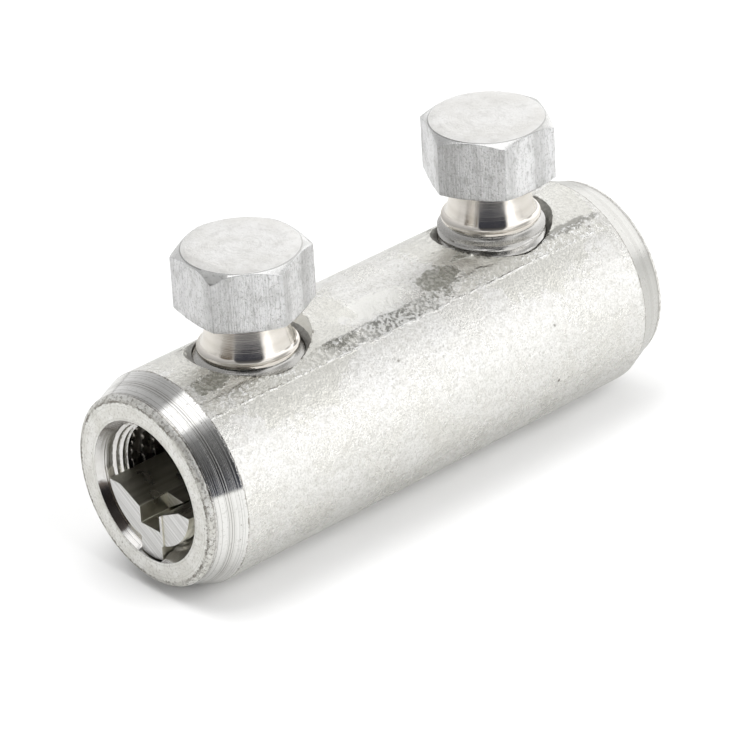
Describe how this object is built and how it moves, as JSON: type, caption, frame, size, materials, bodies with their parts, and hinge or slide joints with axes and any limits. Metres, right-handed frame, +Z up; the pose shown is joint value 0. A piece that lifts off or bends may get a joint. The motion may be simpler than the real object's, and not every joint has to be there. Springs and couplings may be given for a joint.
{
  "type": "inline mechanical conductor joint",
  "caption": "Tinned aluminium barrel with a blind keyed bore in each end, an extruded insert in each bore and hexagon shear bolts that clamp two conductors end to end.",
  "frame": {"origin": "middle of the barrel's axis", "axes": "+X along the barrel from the left mouth to the right mouth, +Z up along both bolts, -Y the side seen in the picture"},
  "size_m": [0.066, 0.024, 0.0367],
  "materials": {
    "tinned_barrel": "dull cast looking tin plating",
    "extruded_insert": "sawn and tinned",
    "turned_bolt": "bright turned"
  },
  "bodies": {
    "barrel": {"connector_body": "tinned_barrel", "conductor_insert_left": "extruded_insert", "conductor_insert_right": "extruded_insert"},
    "bolt_left": {"shear_bolt_left": "turned_bolt"},
    "bolt_right": {"shear_bolt_right": "turned_bolt"}
  },
  "joints": [
    {"name": "left_bolt_screw", "type": "slide", "parent": "barrel", "child": "bolt_left", "axis": [0, 0, 1], "range_m": [-0.0039, 0]},
    {"name": "right_bolt_screw", "type": "slide", "parent": "barrel", "child": "bolt_right", "axis": [0, 0, 1], "range_m": [-0.0056, 0]}
  ]
}
